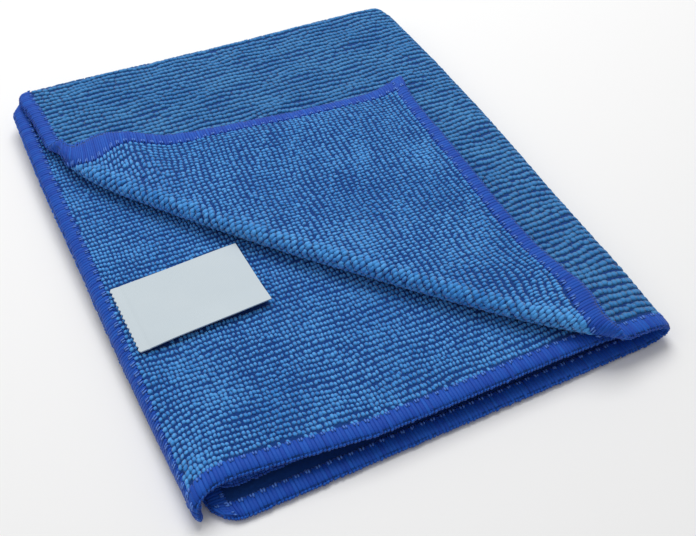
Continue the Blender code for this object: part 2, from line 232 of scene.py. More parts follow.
def bow_of_roll(s):
    bow = BOW_MIDDLE * np.sin(math.pi * np.clip(s / FLAP_SPAN, 0, 1))
    bow = bow + BOW_LEFT * np.exp(-np.maximum(s, 0) / BOW_LEFT_LENGTH)
    return bow + BOW_RIGHT * np.exp(-np.maximum(FLAP_SPAN - s, 0) / BOW_RIGHT_LENGTH)


def beyond_roll(x, y):
    """How far a flat place of the top layer lies past the line where its roll starts."""
    s = (x - FLAP_LEFT[0]) * FLAP_LINE[0] + (y - FLAP_LEFT[1]) * FLAP_LINE[1]
    bow = bow_of_roll(s)
    return s, bow, (x - FLAP_LEFT[0]) * FLAP_OUT[0] + (y - FLAP_LEFT[1]) * FLAP_OUT[1] - bow


def turn_back(x, y, z, depth, top):
    s, bow, d = beyond_roll(x, y)
    corner = FREE_CORNER - FLAP_LEFT
    ends = np.exp(-np.maximum(s, 0) / ROLL_END) + np.exp(-np.maximum(FLAP_SPAN - s, 0) / ROLL_END)
    radius = FLAP_ROLL * (1 - ROLL_TIGHTENING * ends)
    tip_bow = bow_of_roll(corner @ FLAP_LINE)
    lies_back = FLAP_TIP - FLAP_LEFT - FLAP_LINE * (corner @ FLAP_LINE) - FLAP_OUT * tip_bow
    back = lies_back / (corner @ FLAP_OUT - tip_bow - math.pi * FLAP_ROLL)
    turn = np.clip(d / radius, 0, math.pi)
    past = np.maximum(d - math.pi * radius, 0)
    out = bow + (radius + depth) * np.sin(turn)
    new_x = FLAP_LEFT[0] + FLAP_LINE[0] * s + FLAP_OUT[0] * out + back[0] * past
    new_y = FLAP_LEFT[1] + FLAP_LINE[1] * s + FLAP_OUT[1] * out + back[1] * past
    settle = (2 * radius - LAYER_PITCH) * smooth(past / FLAP_SETTLE)
    new_z = TOP_MIDDLE + radius - (radius + depth) * np.cos(turn) - settle
    from_hem = np.maximum(x - FREE_CORNER[0], 0)
    from_tip = np.maximum(y - FREE_CORNER[1], 0)
    done = smooth(past / HEM_BLEND)
    wave = np.interp(from_tip, column(WAVE_ROWS, "from_tip"), column(WAVE_ROWS, "shift_back"))
    new_y = new_y + wave * np.exp(-((from_hem / HEM_WAVE_REACH) ** 2)) * done
    wave = np.interp(from_hem, column(SIDE_WAVE_ROWS, "from_tip"), column(SIDE_WAVE_ROWS, "shift_right"))
    new_x = new_x + wave * np.exp(-((from_tip / HEM_WAVE_REACH) ** 2)) * done
    ear = TIP_EAR * np.exp(-((np.hypot(from_hem, from_tip) / TIP_EAR_SIZE) ** 1.5))
    puff = PUFF * smooth(from_hem / PUFF_RISE)
    puff = puff * np.exp(-((np.maximum(from_hem - PUFF_RISE, 0) / PUFF_FALL) ** 2))
    puff = puff * smooth((from_tip - PUFF_FROM_TIP) / PUFF_RIGHT_END)
    puff = puff * smooth((PUFF_LEFT - from_tip) / PUFF_LEFT_END)
    folds = top & (d > 0)
    x = np.where(folds, new_x + 0.7 * ear, x)
    y = np.where(folds, new_y + 0.9 * ear, y)
    return x, y, np.where(folds, new_z + puff * done, z)


# %% The whole fold
def round_corners(x, y):
    back = np.clip((y - BACK_SIDE) / CORNER_ROUNDING + 1, 0, 1)
    right = np.clip((x - RIGHT_SIDE) / CORNER_ROUNDING + 1, 0, 1)
    left = np.clip((LEFT_SIDE - x) / CORNER_ROUNDING + 1, 0, 1)
    pulled_in = CORNER_ROUNDING * (1 - np.sqrt(1 - back**2 / 2))
    side = np.maximum(left, right)
    x = x + pulled_in * (left - right)
    return x, y - CORNER_ROUNDING * back * (1 - np.sqrt(1 - side**2 / 2))


def unfolded_top(across, along, depth):
    """Where a place lies before its corner is turned back, with which layer it is in."""
    y, level, middle = back_fold(along, depth)
    x, z, turned, from_hem = right_fold(across, along, y, level, middle)
    drawn_back = RECESS * np.clip(1 - from_hem / RECESS_WIDTH, 0, 1)
    drawn_back = drawn_back * (1 - np.exp(-((from_hem / RECESS_FADE) ** 2)))
    drawn_back = drawn_back + HIDDEN_RECESS * smooth((CLOTH_WIDTH / 2 - across) / HIDDEN_RECESS_END)
    y = y + drawn_back * np.exp(-(((CLOTH_LENGTH - along) / RECESS_LENGTH) ** 2))
    upper = turned > 0.999
    x, z = droop(x, y, z, upper, middle > 0.999 * BACK_RADIUS)
    return x, y, z, upper & (middle < -0.999 * BACK_RADIUS)


def fold(flat):
    """The folded places of an array of flat ones."""
    across, along, depth = np.moveaxis(np.asarray(flat, float), -1, 0)
    x, y, z, top = unfolded_top(across, along, depth)
    x, y, z = turn_back(x, y, z, depth, top)
    uneven = np.sin(2 * math.pi * x / UNEVEN_ACROSS + 0.6) * np.sin(2 * math.pi * y / UNEVEN_ALONG + 1.1)
    press = smooth((x - TIP_PRESS_FROM) / TIP_PRESS_WIDTH)
    press = press * np.exp(-((np.maximum(y, 0) / TIP_PRESS_LENGTH) ** 2))
    z = z * (1 + UNEVEN * (1 + uneven)) * (1 - TIP_PRESS * press)
    near = np.clip(1 - across / FRONT_ROUNDING, 0, 1)
    front = np.clip(1 - np.minimum(along, CLOTH_LENGTH - along) / FRONT_ROUNDING, 0, 1)
    x = x + FRONT_ROUNDING * near * (1 - np.sqrt(1 - front**2 / 2))
    y = y + FRONT_ROUNDING * front * (1 - np.sqrt(1 - near**2 / 2))
    x, y = round_corners(x, y)
    return np.stack([x - PLAN_MIDDLE[0], y - PLAN_MIDDLE[1], z], -1)


print("the free corner lands at", np.round(fold([CLOTH_WIDTH, 0, 0]) / MM, 1), "mm")

# %% [markdown]
# ## Camera, floor and light
#
# The cloth is seen from above its front left corner, from about a quarter of a metre away, so the near
# corner is much larger than the far one. A pale floor and three large soft lights leave only small
# shadows, and the darkest of them lies under the diagonal roll.

# %% Camera
CAMERA_PLACE = (-94.63 * MM, -210.22 * MM, 219.4 * MM)
CAMERA_YAW = math.radians(27.809)
CAMERA_PITCH = math.radians(46.957)
CAMERA_ROLL = math.radians(1.971)
CAMERA_LENS = 45.28

camera_data = bpy.data.cameras.new("camera")
camera_data.lens = CAMERA_LENS
camera_data.sensor_width = 36
camera_data.clip_start = 0.005
camera = bpy.data.objects.new("camera", camera_data)
bpy.context.scene.collection.objects.link(camera)
ahead = Vector(
    (
        math.sin(CAMERA_YAW) * math.cos(CAMERA_PITCH),
        math.cos(CAMERA_YAW) * math.cos(CAMERA_PITCH),
        -math.sin(CAMERA_PITCH),
    )
)
camera.rotation_euler = ahead.to_track_quat("-Z", "Y").to_euler()
camera.rotation_euler.rotate_axis("Z", CAMERA_ROLL)
camera.location = CAMERA_PLACE
bpy.context.scene.camera = camera
print("camera at", CAMERA_PLACE)


# %% Floor and lights
def area_light(name, place, aim, size, power, color=(1, 1, 1)):
    data = bpy.data.lights.new(name, "AREA")
    data.shape = "SQUARE"
    data.size = size
    data.energy = power
    data.color = color
    light = bpy.data.objects.new(name, data)
    bpy.context.scene.collection.objects.link(light)
    light.location = place
    light.rotation_euler = (Vector(aim) - Vector(place)).to_track_quat("-Z", "Y").to_euler()
    return light


area_light("sky_light", (0.12, 0.42, 0.8), (0, 0.02, 0), 0.6, 6.0)
area_light("left_light", (-0.6, 0.1, 0.6), (0, 0, 0), 0.5, 0.8)
world = bpy.data.worlds.new("studio")
world.use_nodes = True
world.node_tree.nodes["Background"].inputs["Color"].default_value = (1, 1, 1, 1)
world.node_tree.nodes["Background"].inputs["Strength"].default_value = 0.38
bpy.context.scene.world = world
bpy.context.scene.view_settings.view_transform = "Standard"

bpy.ops.object.select_all(action="DESELECT")
bpy.ops.mesh.primitive_plane_add(size=8, location=(0, 0, 0))
floor = bpy.context.object
floor.name = "floor"
print("floor and lights are set")

# %% [markdown]
# ## Shader sums in Python
#
# A material that changes over its surface is a chain of small sums. Writing them as Python expressions
# is easier to read than a page of links, so one small class wraps a socket and adds a Math node for
# each operator.


# %% A socket that can be added and multiplied
class Wire:
    """One value in a material's node tree."""

    def __init__(self, tree, socket):
        self.tree = tree
        self.socket = socket

    def node(self, kind, values=(), out=0, **settings):
        """Adds a node, sets it up, fills its sockets by place or name, and gives one output."""
        made = self.tree.nodes.new(kind)
        for name, value in settings.items():
            setattr(made, name, value)
        for key, value in dict(values).items():
            if isinstance(value, Wire):
                self.tree.links.new(value.socket, made.inputs[key])
            else:
                made.inputs[key].default_value = value
        return Wire(self.tree, made.outputs[out])

    def math(self, operation, a, b=0.0):
        return self.node("ShaderNodeMath", {0: a, 1: b}, operation=operation)

    def __add__(self, other):
        return self.math("ADD", self, other)

    __radd__ = __add__

    def __sub__(self, other):
        return self.math("SUBTRACT", self, other)

    def __rsub__(self, other):
        return self.math("SUBTRACT", other, self)

    def __mul__(self, other):
        return self.math("MULTIPLY", self, other)

    __rmul__ = __mul__

    def __truediv__(self, other):
        return self.math("DIVIDE", self, other)

    def __pow__(self, other):
        return self.math("POWER", self, other)

    def blend(self, low, high):
        """A colour between two others, by this value."""
        return self.node("ShaderNodeMix", {0: self, 6: low, 7: high}, out=2, data_type="RGBA")


def new_material(name, roughness=0.9, sheen=0.0):
    """A material with its Principled shader, and a wire to start sums from."""
    material = bpy.data.materials.new(name)
    material.use_nodes = True
    shader = material.node_tree.nodes["Principled BSDF"]
    shader.inputs["Roughness"].default_value = roughness
    shader.inputs["Sheen Weight"].default_value = sheen
    shader.inputs["Sheen Roughness"].default_value = 0.4
    shader.inputs["Specular IOR Level"].default_value = 0.25
    return material, shader, Wire(material.node_tree, None)


def plug(wire, shader, name):
    """Joins a wire to a socket of the shader."""
    wire.tree.links.new(wire.socket, shader.inputs[name])


def noise(start, place, scale, detail=2.0):
    return start.node("ShaderNodeTexNoise", {"Vector": place, "Scale": scale, "Detail": detail})


def rgb(red, green, blue):
    return (red, green, blue, 1)


# %% The floor's finish
floor_material, shader, start = new_material("pale_floor", roughness=0.8)
place = start.node("ShaderNodeTexCoord", out=3)
plug(
    (noise(start, place, 6.0) * 0.2).blend(rgb(0.93, 0.93, 0.93), rgb(0.96, 0.96, 0.96)),
    shader,
    "Base Color",
)
floor.data.materials.append(floor_material)
print("made", floor_material.name)

# %% [markdown]
# ## Finishes of the cloth
#
# Every loop of the pile is a real bead of mesh, so its colour only has to follow two values that the
# mesh carries: lift, which is 0 at the loop's root and 1 at its tip, and tone, which differs a little
# from loop to loop and drifts slowly over the cloth. Roots are painted deep blue as painted shade in the
# gaps between the loops, and tips are painted pale as a painted highlight, as strongly as tone says. A fine
# noise stands for the split fibres.


# %% Colours
# The deep pile and rib colours are painted shade at the roots of the loops, down in the gaps between them;
# the pale ones are a painted highlight on their tips.
PILE_ROOT_SHADE = rgb(0.003, 0.05, 0.24)
PILE_BRIGHT = rgb(0.028, 0.23, 0.66)
PILE_TIP_HIGHLIGHT = rgb(0.09, 0.39, 0.86)
RIB_ROOT_SHADE = rgb(0.008, 0.09, 0.3)
RIB_BRIGHT = rgb(0.028, 0.19, 0.5)
RIB_TIP_HIGHLIGHT = rgb(0.06, 0.27, 0.6)
# The two ground blues are darker than the loops: painted shade for the gaps between the loops. The mottle
# between the two blues is random.
GROUND_SHADE_BLUE = rgb(0.006, 0.06, 0.28)
GROUND_SHADE_DEEP = rgb(0.003, 0.03, 0.16)
# The deep hem colour is painted shade on the sides and roots of the threads, and the pale one is a painted
# highlight on their crowns.
HEM_BLUE = rgb(0.004, 0.065, 0.44)
HEM_THREAD_SHADE = rgb(0.002, 0.03, 0.27)
HEM_THREAD_HIGHLIGHT = rgb(0.008, 0.12, 0.58)
STITCH_PALE = rgb(0.09, 0.24, 0.74)
# The deep stitch colour is painted shade at the root of each dash; the pale one is the thread's own colour.
STITCH_ROOT_SHADE = rgb(0.03, 0.1, 0.5)
LABEL_GREY = rgb(0.52, 0.6, 0.65)
LABEL_PALE = rgb(0.6, 0.67, 0.71)


def attribute(start, name):
    return start.node("ShaderNodeAttribute", out=2, attribute_name=name)


def fibre_material(name, deep, bright, pale, roughness, sheen, grain):
    """Fibre with painted shade at its root and a painted highlight at its tip, with a fine grain of split
    filaments.
    """
    material, shader, start = new_material(name, roughness, sheen)
    place = start.node("ShaderNodeTexCoord", out=3)
    lift = attribute(start, "lift")
    tone = attribute(start, "tone")
    fine = noise(start, place, grain, 3.0)
    # Painted shade: the colour darkens from the lit colour at the tip to the deep colour at the root.
    body = lift.blend(deep, bright)
    # Painted highlight: the tip is washed towards the pale colour, more where tone and the fine grain are
    # high.
    share = start.node("ShaderNodeClamp", {0: tone * lift * (fine * 0.8 + 0.6)})
    color = share.node("ShaderNodeMix", {0: share, 6: body, 7: pale}, out=2, data_type="RGBA")
    plug(color, shader, "Base Color")
    bump = start.node("ShaderNodeBump", {"Height": fine, "Strength": 0.5, "Distance": 0.0002})
    plug(bump, shader, "Normal")
    return material


# Pile and ribs: painted shade at each loop's root and a painted highlight at its tip.
pile_material = fibre_material("looped_pile", PILE_ROOT_SHADE, PILE_BRIGHT, PILE_TIP_HIGHLIGHT, 0.85, 0.3, 2600.0)
rib_material = fibre_material("ribbed_pile", RIB_ROOT_SHADE, RIB_BRIGHT, RIB_TIP_HIGHLIGHT, 0.9, 0.25, 2600.0)
# Hem threads: painted shade on their sides and roots, and a painted highlight on their crowns.
hem_material = fibre_material("overlock_thread", HEM_THREAD_SHADE, HEM_BLUE, HEM_THREAD_HIGHLIGHT, 0.6, 0.15, 3200.0)
# Needle dashes: the thread's own pale colour, with painted shade at each dash's root.
stitch_material = fibre_material("needle_thread", STITCH_ROOT_SHADE, STITCH_PALE, STITCH_PALE, 0.55, 0.1, 3200.0)
print("made", [m.name for m in (pile_material, rib_material, hem_material, stitch_material)])

# %% The knitted ground between the loops, darkened as painted shade
shaded_ground_material, shader, start = new_material("knitted_ground_painted_shade", 0.95, 0.2)
uv = start.node("ShaderNodeUVMap", uv_map="UVMap")
mottle = noise(start, uv, 900.0, 3.0)
# Painted shade: the ground's dark blues stand for the shade down between the loops.
plug(mottle.blend(GROUND_SHADE_DEEP, GROUND_SHADE_BLUE), shader, "Base Color")
plug(start.node("ShaderNodeBump", {"Height": mottle, "Strength": 0.6, "Distance": 0.0003}), shader, "Normal")
print("made", shaded_ground_material.name)

# %% [markdown]
# ## The cloth's sheet
#
# The sheet is a grid of narrow cells laid flat, a lower and an upper face joined round the rim, and then
# folded. Cells are narrow where the cloth bends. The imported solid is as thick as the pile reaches, so
# the knitted ground inside it is thinner, and the loops fill what is left.

# %% Meshes from arrays
GROUND = 0.75 * MM


def make_mesh(name, points, faces, material, values=None):
    """An object from an array of points and one or more arrays of faces, with a value per point."""
    counts = np.concatenate([np.full(len(part), part.shape[1]) for part in faces])
    corners = np.concatenate([part.ravel() for part in faces])
    mesh = bpy.data.meshes.new(name)
    mesh.vertices.add(len(points))
    mesh.vertices.foreach_set("co", points.ravel())
    mesh.loops.add(len(corners))
    mesh.loops.foreach_set("vertex_index", corners.astype(np.int32))
    mesh.polygons.add(len(counts))
    mesh.polygons.foreach_set("loop_start", (np.cumsum(counts) - counts).astype(np.int32))
    mesh.update(calc_edges=True)
    mesh.validate()
    mesh.materials.append(material)
    for key, value in (values or {}).items():
        mesh.attributes.new(key, "FLOAT", "POINT").data.foreach_set("value", value.astype(np.float32))
    mesh.shade_smooth()
    made = bpy.data.objects.new(name, mesh)
    bpy.context.scene.collection.objects.link(made)
    return made


def add_uv(piece, flat, scale=1.0):
    """A UV map that holds each corner's place on the flat cloth."""
    corners = np.empty(len(piece.data.loops), np.int32)
    piece.data.loops.foreach_get("vertex_index", corners)
    layer = piece.data.uv_layers.new(name="UVMap")
    layer.data.foreach_set("uv", (flat[corners, :2] * scale).ravel().astype(np.float32))


def spaced(start, end, step):
    return np.linspace(start, end, max(2, round((end - start) / step) + 1))


def joined(*runs):
    return np.unique(np.round(np.concatenate(runs), 7))


# %% The folded sheet
BEND_FROM = CLOTH_WIDTH / 2 - 13 * MM
BEND_TO = CLOTH_WIDTH / 2 + 13 * MM

across_lines = joined(
    spaced(0, BEND_FROM, 4 * MM),
    spaced(BEND_FROM, BEND_TO, 1.2 * MM),
    spaced(BEND_TO, CLOTH_WIDTH, 1.6 * MM)
)
along_lines = joined(
    spaced(0, BACK_LINE, 1.6 * MM),
    spaced(BACK_LINE, BACK_END, 0.7 * MM),
    spaced(BACK_END, CLOTH_LENGTH, 3.5 * MM)
)


def sheet_piece(name, depth):
    """A closed sheet with one face at -depth and one at +depth."""
    wide, long = len(across_lines), len(along_lines)
    grid = np.stack(np.meshgrid(across_lines, along_lines, indexing="ij"), -1).reshape(-1, 2)
    flat = np.concatenate([np.c_[grid, np.full(len(grid), side)] for side in (-depth, depth)])
    i, j = np.meshgrid(np.arange(wide - 1), np.arange(long - 1), indexing="ij")
    first = (i * long + j).ravel()
    upper = np.stack([first, first + long, first + long + 1, first + 1], -1)
    lower = upper[:, ::-1]
    left = np.arange(long)
    front = np.arange(wide) * long
    rim = np.concatenate(
        [left[:-1], front[:-1] + long - 1, left[::-1][:-1] + (wide - 1) * long, front[::-1][:-1]]
    )
    after = np.roll(rim, -1)
    top = len(grid)
    sides = np.stack([rim, rim + top, after + top, after], -1)
    made = make_mesh(name, fold(flat), [lower, upper + top, sides], shaded_ground_material)
    add_uv(made, flat)
    return made


sheet = sheet_piece("cloth_sheet", GROUND)
print(sheet.name, "has", len(sheet.data.polygons), "faces")

# %% [markdown]
# ## The pile
#
# The knit's inner face is covered with plump loops that stand in rows, and its outer face has finer
# loops pressed together into ribs that run from side to side. One bead is modelled and copied to each
# loop's place, a little moved, turned and resized by a seeded generator so that no two are alike. Loops
# are made where they can be seen: not between the layers, under the label or under the hems.


# %% One bead, and many
def bead(around, rings):
    """A round bead of radius 1: points and triangles."""
    points = [(0, 0, -1)]
    for ring in range(1, rings):
        lean = math.pi * ring / rings
        for step in range(around):
            spin = 2 * math.pi * (step + 0.5 * (ring % 2)) / around
            points.append(
                (math.sin(lean) * math.cos(spin), math.sin(lean) * math.sin(spin), -math.cos(lean))
            )
    points.append((0, 0, 1))
    faces = []
    for step in range(around):
        after = (step + 1) % around
        faces.append((0, 1 + after, 1 + step))
        top = 1 + (rings - 2) * around
        faces.append((top + step, top + after, len(points) - 1))
        for ring in range(rings - 2):
            low = 1 + ring * around
            high = low + around
            odd = ring % 2 == 0
            if odd:
                faces.append((low + step, low + after, high + step))
                faces.append((low + after, high + after, high + step))
            else:
                faces.append((low + step, low + after, high + after))
                faces.append((low + step, high + after, high + step))
    return np.array(points), np.array(faces)


def copies(name, shape, flat, sizes, spins, side, tones, material, lean=None):
    """Copies of a bead at flat places, each with its own size and turn, sent through the folds."""
    points, faces = shape
    turned_across = points[None, :, 0] * sizes[:, None, 0]
    turned_along = points[None, :, 1] * sizes[:, None, 1]
    cos, sin = np.cos(spins)[:, None], np.sin(spins)[:, None]
    local = np.stack(
        [
            turned_across * cos - turned_along * sin,
            turned_across * sin + turned_along * cos,
            points[None, :, 2] * sizes[:, None, 2] * side,
        ],
        -1,
    )
    if lean is not None:
        local[..., :2] += points[None, :, 2:3] * lean[:, None, :]
    places = (flat[:, None, :] + local).reshape(-1, 3)
    order = faces if side > 0 else faces[:, ::-1]
    all_faces = (order[None] + np.arange(len(flat))[:, None, None] * len(points)).reshape(-1, 3)
    # lift runs from 0 at a bead's root to 1 at its tip; the fibre materials paint shade at the root and a
    # highlight at the tip from it.
    lift = np.tile(points[:, 2] * 0.5 + 0.5, len(flat))
    values = {"lift": lift, "tone": np.repeat(tones, len(points))}
    made = make_mesh(name, fold(places), [all_faces], material, values)
    add_uv(made, places)
    print(name, "has", len(flat), "beads and", len(all_faces), "triangles")
    return made


# %% Where loops are seen
HEM_WIDTH = 5.0 * MM
LABEL_LENGTH = 43.6 * MM
LABEL_WIDTH = 28 * MM
LABEL_MIDDLE = np.array([25.6 * MM, 73.0 * MM])
LABEL_TURN = math.radians(2.5)
generator = np.random.default_rng(7)


def drift(place, size, seed):
    """A slow, smooth change over the cloth between about -1 and 1."""
    waves = np.random.default_rng(seed)
    total = np.zeros(len(place))
    for _ in range(7):
        heading = waves.uniform(0, 2 * math.pi)
        pitch = size * waves.uniform(0.6, 1.7)
        along = place[:, 0] * math.cos(heading) + place[:, 1] * math.sin(heading)
        total += np.sin(2 * math.pi * along / pitch + waves.uniform(0, 6.3))
    return total / 3.5


def loop_grid(from_across, to_across, from_along, to_along, pitch_across, pitch_along):
    """Rows of places with a slight wander, over a stretch of the flat cloth."""
    across = np.arange(from_across, to_across, pitch_across)
    along = np.arange(from_along, to_along, pitch_along)
    grid = np.stack(np.meshgrid(across, along, indexing="ij"), -1).reshape(-1, 2)
    grid[:, 0] += drift(grid, 23 * MM, 1) * 0.3 * pitch_across
    grid[:, 1] += drift(grid, 19 * MM, 2) * 0.3 * pitch_along
    grid += generator.normal(0, 1, grid.shape) * [pitch_across * 0.09, pitch_along * 0.07]
    return grid


def inside_hem(grid):
    clear = np.minimum(grid[:, 0], CLOTH_WIDTH - grid[:, 0]) > HEM_WIDTH + 0.1 * MM
    return clear & (np.minimum(grid[:, 1], CLOTH_LENGTH - grid[:, 1]) > HEM_WIDTH + 0.1 * MM)


def lies_at(grid, depth):
    """The plan of flat places before the corner is turned back, and how far past the roll they lie."""
    x, y, _, top = unfolded_top(grid[:, 0], grid[:, 1], np.full(len(grid), depth))
    return x, y, beyond_roll(x, y)[2], top


def under_label(x, y):
    shifted_x, shifted_y = x - LABEL_MIDDLE[0], y - LABEL_MIDDLE[1]
    length = shifted_x * math.cos(LABEL_TURN) + shifted_y * math.sin(LABEL_TURN)
    width = shifted_y * math.cos(LABEL_TURN) - shifted_x * math.sin(LABEL_TURN)
    margin = 0.8 * MM
    return (np.abs(length) < LABEL_LENGTH / 2 - margin) & (np.abs(width) < LABEL_WIDTH / 2 - margin)


# %% Loops of the inner face
LOOP_ACROSS = 1.32 * MM
LOOP_ALONG = 1.95 * MM
LOOP_HEIGHT = 0.55 * MM
plump_bead = bead(6, 4)


def plump_loops(name, grid, rolled=0):
    """Loops of the inner face at these flat places, wider where the cloth rolls over."""
    count = len(grid)
    pressed = np.clip(drift(grid, 38 * MM, 3) * 0.5 + 0.5, 0, 1)
    sizes = np.empty((count, 3))
    wide = 1 + 0.3 * rolled
    sizes[:, 0] = LOOP_ACROSS * (0.52 + 0.08 * pressed) * generator.uniform(0.82, 1.18, count) * wide
    sizes[:, 1] = LOOP_ALONG * (0.5 + 0.08 * pressed) * generator.uniform(0.8, 1.15, count) * wide
    sizes[:, 2] = LOOP_HEIGHT * (1.15 - 0.3 * pressed) * generator.uniform(0.85, 1.1, count)
    flat = np.c_[grid, np.full(count, GROUND - 0.05 * MM)]
    spins = generator.normal(0, 0.22, count)
    tones = np.clip(0.55 + 0.25 * drift(grid, 30 * MM, 4) + generator.normal(0, 0.2, count), 0, 1)
    lean = generator.normal(0, 0.1, (count, 2)) * MM
    return copies(name, plump_bead, flat, sizes, spins, 1, tones, pile_material, lean)


grid = loop_grid(CLOTH_WIDTH / 2 + 12 * MM, CLOTH_WIDTH, BACK_END, CLOTH_LENGTH, LOOP_ACROSS, LOOP_ALONG)
x, y, past, _ = lies_at(grid, GROUND)
seen = inside_hem(grid) & (past > -7 * MM) & ~under_label(x, y)
lower_pile = plump_loops("pile_lower", grid[seen])

grid = loop_grid(CLOTH_WIDTH / 2, CLOTH_WIDTH, 0, BACK_LINE, LOOP_ACROSS, LOOP_ALONG)
x, y, past, top = lies_at(grid, GROUND)
seen = inside_hem(grid) & (past > -3 * MM) & top
on_roll = (past[seen] > -1 * MM) & (past[seen] < 8 * MM)
flap_pile = plump_loops("pile_turned_back", grid[seen], on_roll)

# %% Ribs of the outer face
RIB_ACROSS = 1.75 * MM
RIB_ALONG = 2.5 * MM
RIB_HEIGHT = 0.5 * MM
plain_bead = bead(5, 3)
flap_hem = fold(
    np.concatenate(
        [
            np.c_[np.full(40, CLOTH_WIDTH - 6 * MM), np.linspace(150 * MM, 6 * MM, 40), np.zeros(40)],
            np.c_[
                np.linspace(CLOTH_WIDTH - 6 * MM, CLOTH_WIDTH - 128 * MM, 40),
                np.full(40, 6 * MM),
                np.zeros(40),
            ],
        ]
    )
)[:, :2]


def covered(places, outline):
    """Which plan places lie inside an outline, by counting its sides to their right."""
    inside = np.zeros(len(places), bool)
    for (x1, y1), (x2, y2) in zip(outline, np.roll(outline, -1, 0)):
        crosses = (y1 > places[:, 1]) != (y2 > places[:, 1])
        reach = x1 + (places[:, 1] - y1) * (x2 - x1) / (y2 - y1 if y2 != y1 else 1)
        inside ^= crosses & (places[:, 0] < reach)
    return inside


def rib_loops(name, grid, shape):
    """Loops of the outer face, pressed together along their rib."""
    count = len(grid)
    sizes = np.empty((count, 3))
    sizes[:, 0] = RIB_ACROSS * 0.85 * generator.uniform(0.85, 1.15, count)
    sizes[:, 1] = RIB_ALONG * 0.56 * generator.uniform(0.88, 1.08, count)
    sizes[:, 2] = RIB_HEIGHT * generator.uniform(0.8, 1.15, count)
    flat = np.c_[grid, np.full(count, -GROUND + 0.02 * MM)]
    spins = generator.normal(0, 0.12, count)
    tones = np.clip(0.45 + 0.3 * drift(grid, 26 * MM, 5) + generator.normal(0, 0.16, count), 0, 1)
    return copies(name, shape, flat, sizes, spins, -1, tones, rib_material)


grid = loop_grid(BEND_FROM - 2 * MM, CLOTH_WIDTH, 0, BACK_END, RIB_ACROSS, RIB_ALONG)
x, y, past, top = lies_at(grid, -GROUND)
folded = fold(np.c_[grid, np.full(len(grid), -GROUND)])
seen = inside_hem(grid) & ~(top & (past > -1 * MM)) & ~(top & covered(folded[:, :2], flap_hem))
upper_ribs = rib_loops("ribs_upper", grid[seen], plump_bead)

grid = loop_grid(0, BEND_FROM - 2 * MM, 0, BACK_LINE - 1 * MM, RIB_ACROSS, RIB_ALONG)
lower_ribs = rib_loops("ribs_under", grid[inside_hem(grid)], plain_bead)

back = loop_grid(0, CLOTH_WIDTH, BACK_LINE - 1 * MM, BACK_END, RIB_ACROSS, RIB_ALONG * 0.66)
back = back[(back[:, 0] < BEND_FROM) & inside_hem(back)]
back_ribs = rib_loops("ribs_back_fold", back, plain_bead)

# %% [markdown]
# ## The overlocked edge
#
# An overlock machine wraps thread round the cut edge: close threads cross the hem on both faces, a
# chain of loops sits on the rim, and a needle thread holds them along the hem's inner line, where it
# shows as pairs of pale dashes. Each kind is modelled once, copied along the four hems while the cloth
# is flat, and then folded with it.

# %% Places along the four hems
HemRun = namedtuple("HemRun", "start heading inward length")
HEM_RUNS = (
    HemRun((0, 0), (1, 0), (0, 1), CLOTH_WIDTH),
    HemRun((CLOTH_WIDTH, 0), (0, 1), (-1, 0), CLOTH_LENGTH),
    HemRun((CLOTH_WIDTH, CLOTH_LENGTH), (-1, 0), (0, -1), CLOTH_WIDTH),
    HemRun((0, CLOTH_LENGTH), (0, -1), (1, 0), CLOTH_LENGTH),
)
THREAD_PITCH = 1.16 * MM
THREAD_WIDTH = 0.82 * MM
THREAD_SWELL = 0.34 * MM
STITCH_PITCH = 3.4 * MM


def hem_frames(pitch, inset):
    """Start, heading and inward direction of every step along the four hems."""
    rows = []
    for run in HEM_RUNS:
        steps = np.arange(pitch / 2, run.length, pitch)
        start, heading, inward = (np.array(value, float) for value in run[:3])
        for step in steps:
            rows.append([*(start + heading * step + inward * inset), *heading, *inward])
    return np.array(rows)


# %% Threads across the hem
HemPoint = namedtuple("HemPoint", "inward depth swell")
HEM_SECTION = (
    HemPoint(HEM_WIDTH + 0.3 * MM, 0.55 * MM, 0.5),
    HemPoint(HEM_WIDTH - 0.5 * MM, 0.92 * MM, 0.9),
    HemPoint(HEM_WIDTH * 0.5, 1.0 * MM, 1.0),
    HemPoint(0.9 * MM, 0.85 * MM, 1.0),
    HemPoint(0.1 * MM, 0.45 * MM, 0.9),
    HemPoint(-0.15 * MM, 0.0 * MM, 0.8),
    HemPoint(0.1 * MM, -0.45 * MM, 0.9),
    HemPoint(0.9 * MM, -0.85 * MM, 1.0),
    HemPoint(HEM_WIDTH * 0.5, -1.0 * MM, 1.0),
    HemPoint(HEM_WIDTH - 0.5 * MM, -0.92 * MM, 0.9),
    HemPoint(HEM_WIDTH + 0.3 * MM, -0.55 * MM, 0.5),
)
THREAD_SIDES = 6


